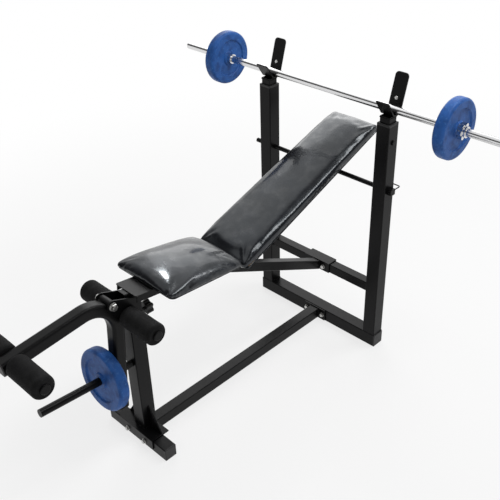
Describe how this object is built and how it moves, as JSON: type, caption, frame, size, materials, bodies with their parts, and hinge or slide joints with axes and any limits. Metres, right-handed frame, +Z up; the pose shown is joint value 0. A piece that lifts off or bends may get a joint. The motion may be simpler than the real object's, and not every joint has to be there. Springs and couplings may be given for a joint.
{
  "type": "adjustable weight bench",
  "caption": "Free-standing weight bench with reclining backrest, telescoping bar catches, loaded barbell and a front leg lever with foam rollers and weight peg.",
  "frame": {"origin": "middle of the rear floor tube's underside, on the floor", "axes": "+X along the bar to the user's right seen from the front, +Y to the rear, +Z up"},
  "size_m": [1.376, 1.4814, 1.0294],
  "materials": {
    "frame_black": "satin powder coat",
    "zinc": "zinc plate",
    "chrome": "bright chrome",
    "plate_blue": "blue enamel, worn",
    "vinyl": "glossy black vinyl",
    "board": "raw board",
    "foam": "black foam",
    "plastic": "black moulded",
    "rubber": "matt"
  },
  "bodies": {
    "frame": {"catch_lock_screws": "frame_black", "floor_rail": "frame_black", "floor_rail_flange": "frame_black", "floor_tube_plugs": "plastic", "foot_saddle": "frame_black", "frame_bolts": "zinc", "front_foot": "frame_black", "front_foot_plugs": "plastic", "front_post": "frame_black", "hinge_ears": "frame_black", "hinge_nut": "zinc", "hinge_pin": "zinc", "hinge_spacers": "zinc", "knee_roller_rod": "frame_black", "left_upright": "frame_black", "lever_bumper": "rubber", "main_rail": "frame_black", "middle_cross_tube": "frame_black", "pivot_bolt": "zinc", "pivot_ears": "frame_black", "pivot_nut": "zinc", "rail_saddle": "frame_black", "rail_stub": "frame_black", "rear_floor_tube": "frame_black", "right_upright": "frame_black", "seat_board": "board", "seat_pad": "vinyl", "seat_screws": "zinc", "seat_straps": "frame_black", "upright_bushes": "plastic"},
    "left_knee_roller": {"left_knee_roller": "foam"},
    "right_knee_roller": {"right_knee_roller": "foam"},
    "post_knob": {"post_knob": "plastic"},
    "backrest": {"back_rails": "frame_black", "back_screws": "zinc", "back_board": "board", "back_pad": "vinyl"},
    "support_rod": {"support_rod": "frame_black", "rod_end_block": "frame_black"},
    "rod_clip": {"rod_clip": "frame_black"},
    "left_catch": {"left_catch_tube": "frame_black", "left_catch_cradle": "frame_black", "left_catch_rivet": "zinc"},
    "right_catch": {"right_catch_tube": "frame_black", "right_catch_cradle": "frame_black", "right_catch_rivet": "zinc"},
    "barbell": {"barbell_bar": "chrome", "bar_inner_rings": "chrome"},
    "left_bar_plate": {"left_bar_plate": "plate_blue"},
    "right_bar_plate": {"right_bar_plate": "plate_blue"},
    "left_star_collar": {"left_star_collar": "chrome"},
    "right_star_collar": {"right_star_collar": "chrome"},
    "leg_lever": {"lever_arm": "frame_black", "lever_pivot_sleeve": "frame_black", "ankle_roller_rod": "frame_black", "lever_plugs": "plastic", "weight_peg": "frame_black"},
    "lever_plate": {"lever_plate": "plate_blue"},
    "left_ankle_roller": {"left_ankle_roller": "foam"},
    "right_ankle_roller": {"right_ankle_roller": "foam"}
  },
  "joints": [
    {"name": "backrest_tilt", "type": "hinge", "parent": "frame", "child": "backrest", "pos_m": [0, -0.4762, 0.49909], "axis": [1, 0, 0], "range_deg": [0, 15]},
    {"name": "leg_lever_swing", "type": "hinge", "parent": "frame", "child": "leg_lever", "pos_m": [0, -0.948, 0.572], "axis": [-1, 0, 0], "range_deg": [0, 90]},
    {"name": "left_catch_rise", "type": "slide", "parent": "frame", "child": "left_catch", "axis": [0, 0, 1], "range_m": [0, 0.14]},
    {"name": "right_catch_rise", "type": "slide", "parent": "frame", "child": "right_catch", "axis": [0, 0, 1], "range_m": [0, 0.14]},
    {"name": "barbell_lift", "type": "slide", "parent": "left_catch", "child": "barbell", "axis": [0, 0, 1], "range_m": [0, 0.3]},
    {"name": "support_rod_pull", "type": "slide", "parent": "frame", "child": "support_rod", "axis": [1, 0, 0], "range_m": [0, 0.57]},
    {"name": "rod_clip_swing", "type": "hinge", "parent": "support_rod", "child": "rod_clip", "pos_m": [0.2883, 0, 0.64656], "axis": [0, 1, 0], "range_deg": [0, 90]},
    {"name": "left_plate_turn", "type": "hinge", "parent": "barbell", "child": "left_bar_plate", "pos_m": [-0.481, 0.012, 0.924], "axis": [1, 0, 0], "continuous": true},
    {"name": "right_plate_turn", "type": "hinge", "parent": "barbell", "child": "right_bar_plate", "pos_m": [0.481, 0.012, 0.924], "axis": [1, 0, 0], "continuous": true},
    {"name": "left_collar_turn", "type": "hinge", "parent": "barbell", "child": "left_star_collar", "pos_m": [-0.481, 0.012, 0.924], "axis": [1, 0, 0], "continuous": true},
    {"name": "right_collar_turn", "type": "hinge", "parent": "barbell", "child": "right_star_collar", "pos_m": [0.481, 0.012, 0.924], "axis": [1, 0, 0], "continuous": true},
    {"name": "lever_plate_turn", "type": "hinge", "parent": "leg_lever", "child": "lever_plate", "pos_m": [0, -0.99402, 0.31595], "axis": [0, -0.9969, 0.0785], "continuous": true},
    {"name": "left_knee_roller_turn", "type": "hinge", "parent": "frame", "child": "left_knee_roller", "pos_m": [0, -0.904, 0.516], "axis": [1, 0, 0], "continuous": true},
    {"name": "right_knee_roller_turn", "type": "hinge", "parent": "frame", "child": "right_knee_roller", "pos_m": [0, -0.904, 0.516], "axis": [1, 0, 0], "continuous": true},
    {"name": "left_ankle_roller_turn", "type": "hinge", "parent": "leg_lever", "child": "left_ankle_roller", "pos_m": [0, -1.25697, 0.55302], "axis": [1, 0, 0], "continuous": true},
    {"name": "right_ankle_roller_turn", "type": "hinge", "parent": "leg_lever", "child": "right_ankle_roller", "pos_m": [0, -1.25697, 0.55302], "axis": [1, 0, 0], "continuous": true},
    {"name": "post_knob_turn", "type": "hinge", "parent": "frame", "child": "post_knob", "pos_m": [0, -0.846, 0.483], "axis": [0, 1, 0], "continuous": true}
  ],
  "couplings": [
    {"joint": "right_catch_rise", "follows": "left_catch_rise", "ratio": 1}
  ]
}
